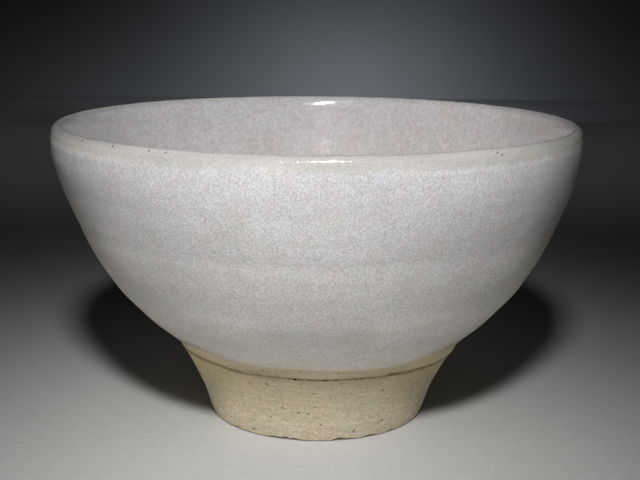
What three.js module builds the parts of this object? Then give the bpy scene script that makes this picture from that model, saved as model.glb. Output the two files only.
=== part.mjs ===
// Tea bowl: a wheel-thrown stoneware bowl on a tall flared foot, glazed inside
// and outside down to a line just above the foot.
// Millimetres, +Z up. Origin: centre of the foot's underside, where the bowl
// stands. The bowl is round about +Z.

import * as THREE from 'three';

// ---------------------------------------------------------------- dimensions
const HEIGHT = 74.3;          // table to the crest of the lip
const LIP_RADIUS = 1.2;       // rounding of the lip in section
const LIP_CREST_R = 63.78;    // radius of the circle that the crest runs on
const GLAZE = 0.6;            // thickness of the fired glaze
const JOINT = 0.1;            // free space left between two pieces that touch
const GLAZE_EDGE_Z = 20.3;    // the glaze line, above the bare clay band
const SEAM_Z = 17.6;          // top face of the foot, where it is joined
const SLIP = 0.3;             // thickness of the slip in the joint
const SLIP_IN = 0.55;         // how far the slip lies back from the surface
const FLOOR_Z = 24.0;         // glazed floor inside, at the centre
const FOOT_IN_R = 22.8;       // inner edge of the foot's standing face
const FOOT_OUT_R = 26.6;      // outer edge of the foot's standing face
const SEGMENTS = 48;          // facets round the bowl, alike on every piece

// ------------------------------------------------------------------ profiles
// All points are (radius, height).

// outside of the bowl as glazed, from the glaze line to the lip
const OUTER = [
  [36.95, 20.95], [38.00, 22.00], [39.85, 23.70], [43.60, 26.90],
  [47.30, 30.75], [51.05, 35.20], [54.35, 40.30], [57.10, 45.40],
  [59.40, 50.55], [61.55, 55.70], [63.35, 60.20], [64.50, 64.20],
  [64.98, 67.50], [65.06, 70.20],
];

// inside of the bowl as glazed, from the lip to the centre of the floor
const INNER = [
  [62.42, 72.95], [61.98, 71.50], [61.58, 70.00], [60.40, 64.50],
  [59.14, 59.00], [57.97, 54.50], [55.20, 48.00], [53.00, 44.00],
  [50.30, 40.00], [46.90, 36.00], [42.50, 32.00], [37.90, 29.00],
  [33.40, 27.00], [27.80, 25.50], [22.10, 24.60], [14.70, 24.15],
  [6.70, 24.02], [0.00, FLOOR_Z],
];

// outside of the foot, from the standing face to the joint
const FOOT_OUTER = [
  [26.98, 0.40], [27.84, 2.56], [28.82, 5.76], [30.09, 8.96],
  [31.60, 12.16], [33.05, 15.04], [34.45, SEAM_Z],
];

// inside of the foot, from the joint down to the standing face
const FOOT_INNER = [
  [27.20, SEAM_Z], [25.40, 14.60], [23.70, 10.80], [22.70, 6.40],
  [22.35, 2.40], [22.45, 0.60],
];

// bare clay between the joint and the glaze line
const BAND = [[34.75, SEAM_Z + SLIP + 2 * JOINT], [35.75, GLAZE_EDGE_Z]];

const v2 = (p) => new THREE.Vector2(p[0], p[1]);

// a smooth curve through the points, as n straight pieces of like length
function smooth(points, n) {
  return new THREE.SplineCurve(points.map(v2)).getSpacedPoints(n);
}

// the round of the lip, from the outside over the crest to the inside
function lipArc(from, to, steps) {
  const out = [];
  for (let i = 0; i <= steps; i++) {
    const a = THREE.MathUtils.degToRad(from + ((to - from) * i) / steps);
    out.push(new THREE.Vector2(
      LIP_CREST_R + LIP_RADIUS * Math.cos(a),
      HEIGHT - LIP_RADIUS + LIP_RADIUS * Math.sin(a)));
  }
  return out;
}

// the same profile moved by d towards the clay side, which is on the left
// hand of a profile that runs up the outside, over the lip and down inside
function inward(points, d) {
  return points.map((p, i) => {
    const a = points[Math.max(0, i - 1)];
    const b = points[Math.min(points.length - 1, i + 1)];
    const t1 = p.clone().sub(a);
    const t2 = b.clone().sub(p);
    if (t1.lengthSq() < 1e-9) t1.copy(t2);
    if (t2.lengthSq() < 1e-9) t2.copy(t1);
    t1.normalize();
    t2.normalize();
    const n1 = new THREE.Vector2(-t1.y, t1.x);
    const n2 = new THREE.Vector2(-t2.y, t2.x);
    const n = n1.add(n2).normalize();
    const mitre = 1 / Math.max(0.5, n.dot(n2));
    return p.clone().addScaledVector(n, d * mitre);
  });
}

// a closed body turned about Z from a profile that runs up the outside and
// down the inside
function turned(name, profile, material) {
  const pts = profile.map((p) => new THREE.Vector2(Math.max(0, p.x), p.y));
  const first = pts[0];
  const last = pts[pts.length - 1];
  if (first.x > 0 || last.x > 0) pts.push(first.clone());
  const mesh = new THREE.Mesh(new THREE.LatheGeometry(pts, SEGMENTS), material);
  mesh.name = name;
  mesh.rotation.x = Math.PI / 2;   // the lathe's own axis is Y
  return mesh;
}

// ----------------------------------------------------------------- materials
const clay = new THREE.MeshStandardMaterial({
  color: new THREE.Color(0.62, 0.56, 0.43), roughness: 0.9, metalness: 0 });
const footClay = new THREE.MeshStandardMaterial({
  color: new THREE.Color(0.64, 0.58, 0.45), roughness: 0.9, metalness: 0 });
const slip = new THREE.MeshStandardMaterial({
  color: new THREE.Color(0.26, 0.21, 0.12), roughness: 0.95, metalness: 0 });
const glazeOut = new THREE.MeshStandardMaterial({
  color: new THREE.Color(0.67, 0.64, 0.66), roughness: 0.42, metalness: 0 });
const glazeIn = new THREE.MeshStandardMaterial({
  color: new THREE.Color(0.60, 0.57, 0.60), roughness: 0.22, metalness: 0 });

// -------------------------------------------------------------------- pieces
const bowl = new THREE.Group();

// The skin of the whole bowl as glazed: up the outside, over the lip, down
// the inside. The two coats meet just inside the crest of the lip.
const outside = smooth(OUTER, 11);
const overLip = lipArc(0, 120, 5);
const insideLip = lipArc(144, 168, 1);
const inside = smooth(INNER, 14);
const coat = [...outside, ...overLip, ...insideLip, ...inside];
const under = inward(coat, GLAZE);
const body = inward(coat, GLAZE + JOINT);
const nOut = outside.length + overLip.length;

// the start of the liner coat: a joint's width on from the end of the outside
const along = coat[nOut].clone().sub(coat[nOut - 1]).setLength(JOINT);

// outer_glaze: the outside coat, ending below in a thick rolled edge
const edge = [
  new THREE.Vector2(35.95, GLAZE_EDGE_Z),
  new THREE.Vector2(36.45, GLAZE_EDGE_Z + 0.1),
];
const outerFace = [...edge, ...coat.slice(0, nOut)];
const outerBack = under.slice(0, nOut).reverse();
bowl.add(turned('outer_glaze', [...outerFace, ...outerBack], glazeOut));

// inner_glaze: the liner coat, from the lip to the middle of the floor
const innerFace = [coat[nOut - 1].clone().add(along), ...coat.slice(nOut)];
const innerBack = [under[nOut - 1].clone().add(along), ...under.slice(nOut)].reverse();
innerBack[0].x = 0;
innerBack[0].y = FLOOR_Z - GLAZE;
bowl.add(turned('inner_glaze', [...innerBack, ...innerFace], glazeIn));

// clay_bowl: the thrown wall and floor under the glaze, with the bare band
// showing below the glaze line
const clayOut = body.slice(0, nOut);
const clayIn = body.slice(nOut);
clayIn[clayIn.length - 1].set(0, FLOOR_Z - GLAZE - JOINT);
const clayProfile = [
  new THREE.Vector2(0, BAND[0][1]),
  new THREE.Vector2(27.2, BAND[0][1]),
  ...BAND.map(v2),
  ...clayOut,
  ...clayIn,
];
bowl.add(turned('clay_bowl', clayProfile, clay));

// luting_slip: the thin ring of slip that joins the foot to the bowl; it lies
// a little back from the surface and shows as a dark line
bowl.add(turned('luting_slip', [
  new THREE.Vector2(27.6, SEAM_Z + JOINT),
  new THREE.Vector2(34.45 - SLIP_IN, SEAM_Z + JOINT),
  new THREE.Vector2(34.65 - SLIP_IN, SEAM_Z + JOINT + SLIP),
  new THREE.Vector2(27.6, SEAM_Z + JOINT + SLIP),
], slip));

// foot_ring: the flared foot, open underneath, with a flat standing face
bowl.add(turned('foot_ring', [
  new THREE.Vector2(FOOT_IN_R, 0),
  new THREE.Vector2(FOOT_OUT_R, 0),
  ...FOOT_OUTER.map(v2),
  ...FOOT_INNER.map(v2),
], footClay));

export default bowl;
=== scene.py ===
"""Looks of a glazed stoneware tea bowl on a tall bare foot. Metres, +Z up."""

import math

import bpy
import numpy as np
from mathutils import Matrix, Vector


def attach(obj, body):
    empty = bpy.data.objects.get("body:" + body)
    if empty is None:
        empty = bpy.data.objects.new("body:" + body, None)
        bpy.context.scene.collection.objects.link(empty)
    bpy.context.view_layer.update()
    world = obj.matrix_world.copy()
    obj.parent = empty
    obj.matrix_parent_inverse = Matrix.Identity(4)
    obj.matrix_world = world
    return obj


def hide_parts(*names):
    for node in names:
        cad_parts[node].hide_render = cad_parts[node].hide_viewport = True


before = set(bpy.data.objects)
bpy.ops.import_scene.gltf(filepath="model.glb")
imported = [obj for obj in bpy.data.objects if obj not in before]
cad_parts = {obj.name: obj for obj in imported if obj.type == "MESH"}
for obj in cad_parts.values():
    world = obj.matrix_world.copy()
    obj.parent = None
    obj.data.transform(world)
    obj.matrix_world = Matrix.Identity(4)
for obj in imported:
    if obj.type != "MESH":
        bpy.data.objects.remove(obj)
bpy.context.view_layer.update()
scene = bpy.context.scene

# =============================================================== small tools
TAU = 2.0 * math.pi


def smoothstep(a, b, x):
    t = np.clip((x - a) / (b - a), 0.0, 1.0)
    return t * t * (3.0 - 2.0 * t)


def gauss(x, c, s):
    return np.exp(-0.5 * ((x - c) / s) ** 2)


def wrapped(phi, c):
    """phi - c, brought into -180..180 degrees; all in degrees."""
    return (phi - c + 180.0) % 360.0 - 180.0


def spline(points, step):
    """A natural cubic curve through points, sampled about every step."""
    p = np.array(points, float)
    t = np.r_[0.0, np.cumsum(np.hypot(*np.diff(p, axis=0).T))]
    n = len(t)
    h = np.diff(t)
    a = np.zeros((n, n))
    b = np.zeros((n, 2))
    a[0, 0] = a[-1, -1] = 1.0
    for i in range(1, n - 1):
        a[i, i - 1], a[i, i], a[i, i + 1] = h[i - 1], 2 * (h[i - 1] + h[i]), h[i]
        b[i] = 6 * ((p[i + 1] - p[i]) / h[i] - (p[i] - p[i - 1]) / h[i - 1])
    m = np.linalg.solve(a, b)
    ts = np.linspace(0, t[-1], max(2, int(t[-1] / step) + 1))
    k = np.clip(np.searchsorted(t, ts, "right") - 1, 0, n - 2)
    u, hk = (ts - t[k])[:, None], h[k][:, None]
    c1 = (p[k + 1] - p[k]) / hk - hk * (2 * m[k] + m[k + 1]) / 6
    return p[k] + c1 * u + m[k] / 2 * u**2 + (m[k + 1] - m[k]) / (6 * hk) * u**3


def periodic(anchors, phi):
    """A smooth closed curve through (degrees, value) anchors."""
    a = sorted(anchors)
    x = np.array([q[0] for q in a], float)
    y = np.array([q[1] for q in a], float)
    x = np.r_[x[-2:] - 360, x, x[:2] + 360]
    y = np.r_[y[-2:], y, y[:2]]
    g = np.gradient(y, x)
    ph = (phi + 180.0) % 360.0 - 180.0
    k = np.clip(np.searchsorted(x, ph, "right") - 1, 0, len(x) - 2)
    h = x[k + 1] - x[k]
    t = (ph - x[k]) / h
    return (
        (2 * t**3 - 3 * t**2 + 1) * y[k]
        + (t**3 - 2 * t**2 + t) * h * g[k]
        + (-2 * t**3 + 3 * t**2) * y[k + 1]
        + (t**3 - t**2) * h * g[k + 1]
    )


def noise1(phi, cells, seed, octaves=3):
    """Closed noise round the bowl, about -1..1. phi in degrees."""
    out = np.zeros(np.shape(phi))
    amp, total = 1.0, 0.0
    rng = np.random.RandomState(seed)
    for _ in range(octaves):
        v = rng.uniform(-1, 1, cells)
        x = (np.asarray(phi, float) / 360.0 % 1.0) * cells
        k = np.floor(x).astype(int) % cells
        t = x - np.floor(x)
        t = t * t * (3 - 2 * t)
        out = out + amp * (v[k] * (1 - t) + v[(k + 1) % cells] * t)
        total += amp
        amp *= 0.5
        cells *= 2
    return out / total


def noise2(phi, s, cells, ds, seed, octaves=3):
    """Noise over the surface, closed round the bowl, about -1..1.
    phi in degrees, s in mm; cells round the bowl and ds mm along it."""
    phi, s = np.broadcast_arrays(np.asarray(phi, float), np.asarray(s, float))
    out = np.zeros(phi.shape)
    amp, total = 1.0, 0.0
    rng = np.random.RandomState(seed)
    for _ in range(octaves):
        rows = 512
        v = rng.uniform(-1, 1, (rows, cells))
        x = (phi / 360.0 % 1.0) * cells
        y = s / ds + 37.3
        kx, ky = np.floor(x).astype(int) % cells, np.floor(y).astype(int) % rows
        tx, ty = x - np.floor(x), y - np.floor(y)
        tx, ty = tx * tx * (3 - 2 * tx), ty * ty * (3 - 2 * ty)
        kx1, ky1 = (kx + 1) % cells, (ky + 1) % rows
        out = out + amp * (
            (v[ky, kx] * (1 - tx) + v[ky, kx1] * tx) * (1 - ty)
            + (v[ky1, kx] * (1 - tx) + v[ky1, kx1] * tx) * ty
        )
        total += amp
        amp *= 0.5
        cells *= 2
        ds *= 0.5
    return out / total


def degrees_round(n):
    """n directions round the bowl, in degrees, the first facing +X."""
    return np.arange(n) * 360.0 / n


class Turned:
    """A mesh made of rings round the bowl's axis. Each ring is n points given
    by radius and height in mm; two rings next to each other have the same
    number of points, or one has half of the other's. Rings run up the outside
    and down the inside, so the faces point out."""

    def __init__(self):
        self.verts, self.faces, self.rings = [], [], []
        self.count = 0

    def _faces(self, a, b):
        (a0, na), (b0, nb) = a, b
        if na == nb:
            j = np.arange(na)
            k = (j + 1) % na
            self.faces += np.c_[a0 + j, a0 + k, b0 + k, b0 + j].tolist()
        elif na == 2 * nb:
            for j in range(nb):
                f0, f1, f2 = a0 + 2 * j, a0 + 2 * j + 1, a0 + (2 * j + 2) % na
                c0, c1 = b0 + j, b0 + (j + 1) % nb
                self.faces += [(f0, f1, c0), (f1, c1, c0), (f1, f2, c1)]
        elif nb == 2 * na:
            for j in range(na):
                f0, f1, f2 = b0 + 2 * j, b0 + 2 * j + 1, b0 + (2 * j + 2) % nb
                c0, c1 = a0 + j, a0 + (j + 1) % na
                self.faces += [(c0, f1, f0), (c0, c1, f1), (c1, f2, f1)]
        else:
            raise ValueError("rings don't match")

    def ring(self, n, r, z):
        a = np.radians(degrees_round(n))
        r, z = np.broadcast_to(r, (n,)), np.broadcast_to(z, (n,))
        self.verts.append(np.c_[r * np.cos(a), r * np.sin(a), z])
        new = (self.count, n)
        self.count += n
        if self.rings:
            self._faces(self.rings[-1], new)
        self.rings.append(new)

    def pole(self, z):
        self.verts.append(np.array([[0.0, 0.0, z]]))
        p = self.count
        self.count += 1
        if self.rings:                       # closes the end
            a0, n = self.rings[-1]
            self.faces += [(a0 + j, a0 + (j + 1) % n, p) for j in range(n)]
        else:                                # starts from the axis
            self.start = p
        return p

    def first_fan(self):
        a0, n = self.rings[0]
        self.faces += [(self.start, a0 + (j + 1) % n, a0 + j) for j in range(n)]

    def close(self):
        self._faces(self.rings[-1], self.rings[0])

    def make(self, name, material, **tags):
        """tags: numbers at each point for the material, as functions of
        direction and height."""
        co = np.concatenate(self.verts) / 1000.0
        mesh = bpy.data.meshes.new(name)
        mesh.from_pydata(co.tolist(), [], self.faces)
        mesh.validate()
        mesh.polygons.foreach_set("use_smooth", np.ones(len(mesh.polygons), bool))
        mesh.update()
        if tags:
            co = np.empty(len(mesh.vertices) * 3)
            mesh.vertices.foreach_get("co", co)
            x, y, z = co.reshape(-1, 3).T * 1000.0
            deg = np.degrees(np.arctan2(y, x))
            for key, f in tags.items():
                layer = mesh.attributes.new(key, "FLOAT", "POINT")
                layer.data.foreach_set("value", np.asarray(f(deg, z), np.float32))
        obj = bpy.data.objects.new(name, mesh)
        scene.collection.objects.link(obj)
        mesh.materials.append(material)
        return obj


# ============================================================ shape of the bowl
# All in millimetres, as (radius, height).
HEIGHT = 74.3
COAT = 0.65                    # how far the glaze stands off the clay
BAND = 0.42                    # and off the bare band below it
LIP_R, LIP_C = 1.75, 63.23     # rounding of the lip outside and where its crest runs

OUTER = [
    (35.35, 17.85), (35.75, 18.90), (36.25, 20.05), (37.05, 21.30),
    (38.25, 22.40), (39.85, 23.70), (43.60, 26.90), (47.30, 30.75),
    (51.05, 35.20), (54.35, 40.30), (57.10, 45.40), (59.40, 50.55),
    (61.55, 55.70), (63.30, 60.20), (64.45, 64.20), (64.95, 67.50),
    (65.05, 70.20), (64.98, HEIGHT - LIP_R),
]
INNER = [
    (62.62, 73.45), (62.42, 73.00), (62.22, 72.50), (61.94, 71.50),
    (61.62, 70.00), (60.40, 64.50), (59.14, 59.00), (58.66, 57.00),
    (57.97, 54.50), (57.08, 52.00), (55.20, 48.00), (53.00, 44.00),
    (50.30, 40.00), (46.90, 36.00), (42.50, 32.00), (37.90, 29.00),
    (33.40, 27.00), (27.80, 25.50), (22.10, 24.60), (14.70, 24.15),
    (6.70, 24.02), (0.00, 24.00),
]
_out = spline(OUTER, 0.05)
_arc = np.radians(np.linspace(2, 90, 90))
_lip = np.c_[LIP_C + LIP_R * np.cos(_arc), HEIGHT - LIP_R + LIP_R * np.sin(_arc)]
_arc = np.radians(np.linspace(92, 145, 30))         # and tighter inside
_lip = np.r_[_lip, np.c_[LIP_C + 0.33 * np.cos(_arc), HEIGHT - 0.40 + 0.40 * np.sin(_arc)]]
_in = spline([tuple(_lip[-1]), *INNER], 0.05)[1:]
SKIN = np.concatenate([_out, _lip, _in])            # the glazed section
SIGMA = np.r_[0.0, np.cumsum(np.hypot(*np.diff(SKIN, axis=0).T))]
keep = np.r_[True, np.diff(SIGMA) > 1e-6]
SKIN, SIGMA = SKIN[keep], SIGMA[keep]
LENGTH = SIGMA[-1]
CREST = SIGMA[np.argmax(SKIN[:, 1])]
SPLIT = float(SIGMA[np.argmax(SKIN[:, 1])] + 0.55)


def skin(s):
    """Point and outward normal of the glazed section at length s."""
    e = 0.06
    r = np.interp(s, SIGMA, SKIN[:, 0])
    z = np.interp(s, SIGMA, SKIN[:, 1])
    dr = np.interp(s + e, SIGMA, SKIN[:, 0]) - np.interp(s - e, SIGMA, SKIN[:, 0])
    dz = np.interp(s + e, SIGMA, SKIN[:, 1]) - np.interp(s - e, SIGMA, SKIN[:, 1])
    l = np.hypot(dr, dz) + 1e-12
    return r, z, dz / l, -dr / l


def at_height(z):
    """Length along the section of the outside point at height z."""
    n = len(_out)
    return np.interp(z, SKIN[:n, 1], SIGMA[:n])


# The bowl is a little out of round: fuller low on the +X side, and a touch
# slimmer high up there.
RIGHT = [(0, 0), (5, .05), (12, .2), (15.5, .42), (18.7, .70), (22, .66),
         (25, .5), (28, .2), (33, .12), (38, -.1), (44, -.16), (50, -.26),
         (55, -.42), (58.6, -.60), (62, -.78), (66, -.88), (70, -.86), (74, -.94), (76, -.94)]
LEFT = [(0, 0), (12, -.05), (17.6, -.16), (21, -.28), (24, -.28), (27, -.2),
        (31, -.09), (37, 0), (43, .14), (50, .18), (56, .09), (60, .06), (63, .15),
         (67, .38), (71, .40), (74, .22), (76, .2)]


def out_of_round(phi, z):
    right = np.interp(z, *zip(*RIGHT)) * smoothstep(70, 0, np.abs(wrapped(phi, 0)))
    left = np.interp(z, *zip(*LEFT)) * smoothstep(70, 0, np.abs(wrapped(phi, 180)))
    slow = 0.10 * smoothstep(20, 60, z) * (
        np.cos(np.radians(2 * phi + 50)) + 0.6 * np.cos(np.radians(3 * phi - 20)))
    return right + left + slow * (0.35 + 0.65 * smoothstep(
        20, 80, np.abs(wrapped(phi, -90))))


def glaze_edge(phi):
    """Height of the glaze line round the bowl."""
    z = periodic([(-170, 20.6), (-150, 21.7), (-137, 22.1), (-131, 21.8),
                  (-127, 20.9), (-122, 20.5), (-112, 20.4), (-101, 20.6),
                  (-92, 20.45), (-80, 20.15), (-69, 20.0), (-60, 20.05),
                  (-52, 20.2), (-46, 20.5), (-41, 20.85), (-33, 20.7),
                  (-20, 20.4), (-8, 20.3),
                  (18, 20.5), (42, 21.2), (66, 20.7), (95, 20.35),
                  (122, 20.9), (148, 20.6), (170, 20.6)], phi)
    return z + 0.07 * noise1(phi, 40, 11)


def seam_height(phi):
    """Height of the joint round the top of the foot. On the right of the
    front it steps up where the two parts were pressed together."""
    z = periodic([(-165, 18.1), (-145, 18.9), (-131, 18.8), (-121, 18.35),
                  (-113, 18.28), (-102, 18.0), (-88, 17.84), (-76, 17.88),
                  (-68, 17.8), (-65, 17.68), (-62.5, 17.82), (-60, 18.05),
                  (-57.5, 18.0), (-55, 17.85), (-46, 17.8), (-36, 17.6),
                  (-22, 17.55), (10, 17.5), (50, 17.85), (95, 17.75),
                  (140, 17.95), (172, 17.9)], phi)
    return z + 0.04 * noise1(phi, 60, 12)


# dark little holes along the joint: direction, half-width in degrees, strength
SEAM_HOLES = [(-98.5, 0.95, 1.0), (-92.8, 0.8, 0.45), (-87.0, 0.9, 0.55),
              (-82.5, 0.8, 0.40), (-59.2, 1.8, 0.25), (-122.2, 0.9, 0.35),
              (-113.0, 0.8, 0.3), (-49.8, 0.8, 0.3), (20.0, 1.0, 0.7),
              (63.0, 1.2, 0.5), (118.0, 0.9, 0.8), (154.0, 1.1, 0.4)]


def seam_holes(phi):
    h = np.zeros(np.shape(phi))
    for deg, w, k in SEAM_HOLES:
        h = np.maximum(h, k * np.exp(-(wrapped(phi, deg) / w) ** 2))
    return h


def edge_shade(phi, z):
    """Painted shade under the glaze line, 0..1: a brown shade where the glaze edge is steep and faces away from the
    light.
    """
    k = periodic([(-165, 0.70), (-150, 0.88), (-136, 0.88), (-124, 0.58),
                  (-110, 0.16), (-98, 0.03), (-80, 0.0), (-62, 0.08),
                  (-52, 0.42), (-44, 0.72), (-34, 0.88), (-15, 0.65), (20, 0.3),
                  (60, 0.45), (100, 0.2), (140, 0.4)], phi)
    d = z - glaze_edge(phi) + 0.25 * noise2(phi, z, 120, 1.4, 91, 2)
    wide = 0.55 + 1.5 * k + 1.4 * k * gauss(wrapped(phi, -34), 0.0, 9.0)
    return np.clip(k, 0, 1) * np.exp(-(np.maximum(d - 0.15, 0.0) / wide) ** 1.3) * smoothstep(-0.7, 0.1, d)


def seam_half(phi):
    """Half of the joint's open width."""
    return (0.25 - 0.13 * gauss(wrapped(phi, -134), 0.0, 19.0)
            + 0.04 * noise1(phi, 36, 13) + 0.03 * noise1(phi, 90, 14)
            + 0.12 * seam_holes(phi))


def rings(z, phi):
    """Throwing rings outside: how far the wall stands out, in mm."""
    wander = 0.35 * noise1(phi, 5, 21, 2) + 0.75 * gauss(wrapped(phi, -88), 0.0, 9.0)
    w = z + wander
    near_ = wrapped(phi, -88)
    deep = 0.075 + 0.035 * gauss(near_, 0.0, 28.0) + 0.085 * gauss(near_, 0.0, 10.0)
    h = -deep * gauss(w, 50.25, 1.3) + 0.035 * gauss(w, 53.3, 1.3)
    h = h + 0.055 * gauss(w, 33.9, 1.1) - 0.025 * gauss(w, 37.2, 1.2)
    h = h + 0.022 * gauss(w, 43.3, 0.9) - 0.018 * gauss(w, 45.4, 0.8)
    h = h - 0.02 * gauss(w, 62.6, 1.4) + 0.018 * gauss(w, 58.0, 1.2)
    h = h - 0.02 * gauss(w, 29.6, 1.6) + 0.02 * gauss(w, 26.3, 1.0)
    h = h + 0.012 * noise2(phi * 0 + 5, w, 8, 1.7, 22, 2)
    return h


def coat_rows():
    """Lengths along the section for the outside coat's rows."""
    s = []
    t = 0.0
    while t < 2.6:                      # the rolled edge
        s.append(t)
        t += 0.09 if t < 0.7 else 0.2
    return np.array(s)


def inside_rings(s, phi):
    """Throwing marks inside, a shallow spiral towards the floor."""
    d = LENGTH - s                      # distance from the middle of the floor
    turn = phi / 360.0
    spiral = np.sin(TAU * (d / 6.2 + turn))
    h = 0.030 * spiral * smoothstep(2, 9, d) * smoothstep(62, 34, d)
    h = h + 0.05 * gauss(d, 26.0, 2.0) - 0.12 * gauss(d, 0.0, 5.5)
    return h + 0.02 * noise2(phi * 0 + 5, d, 8, 2.6, 23, 2)


def lift(phi):
    """The lip's height, a little uneven by hand."""
    return (0.07 * np.cos(np.radians(phi - 60)) + 0.05 * np.cos(
        np.radians(2 * phi + 15)) + 0.035 * noise1(phi, 26, 24, 2) - 0.10
        + 0.10 * gauss(wrapped(phi, -90), 0.0, 34.0) + 0.10 * gauss(wrapped(phi, -122), 0.0, 14.0)
        + 0.24 * gauss(wrapped(phi, -60), 0.0, 15.0))


def place(s, phi, stand, above=None):
    """The surface point at length s and direction phi, standing off the glazed
    section by stand mm."""
    r, z, nr, nz = skin(s)
    z2 = z + lift(phi) * smoothstep(55, 74, z)
    inside = s > CREST
    o = out_of_round(phi, z)
    return r + nr * stand + o, z2 + nz * stand


# the parts of the glazed surface that both coats share at the lip
def coat_stand(s, phi):
    r, z, nr, nz = skin(s)
    # fine unevenness of a fired glaze
    u = noise2(phi, s, 90, 4.2, 31, 3) * 0.035
    u = u + noise2(phi, s, 260, 1.5, 32, 2) * 0.010
    calm = gauss(wrapped(phi, 90), 0.0, 14.0) * smoothstep(CREST + 1.0, CREST + 2.5, s) * smoothstep(58, 64, z)
    u = u * (1.0 - 0.85 * calm)
    outside = smoothstep(CREST + 1.5, CREST - 1.5, s)
    u = u + rings(z, phi) * outside * smoothstep(70.5, 66, z)
    u = u + inside_rings(s, phi) * smoothstep(CREST + 6, CREST + 14, s)
    # the wall and the lip are not quite round here
    x = -r * np.radians(wrapped(phi, 90))
    u = u + (0.0016 * x * x * np.exp(-(x / 14.0) ** 2) - 0.023 * x * np.exp(-(x / 21.0) ** 2)) * smoothstep(
        CREST + 1.0, CREST + 3, s) * smoothstep(54, 64, z)
    x = r * np.radians(wrapped(phi, -90))
    u = u + (0.035 * x - 0.0038 * x * x) * np.exp(-(x / 16.0) ** 2) * gauss(s, CREST - 2.0, 1.5)
    # the coat is thinner over the lip
    thin = gauss(s, CREST, 2.2)
    u = u - 0.10 * thin
    # small nicks and lumps along the lip
    u = u + 0.045 * noise2(phi, s, 150, 1.6, 33, 2) * gauss(s, CREST, 1.6)
    return u


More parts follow.
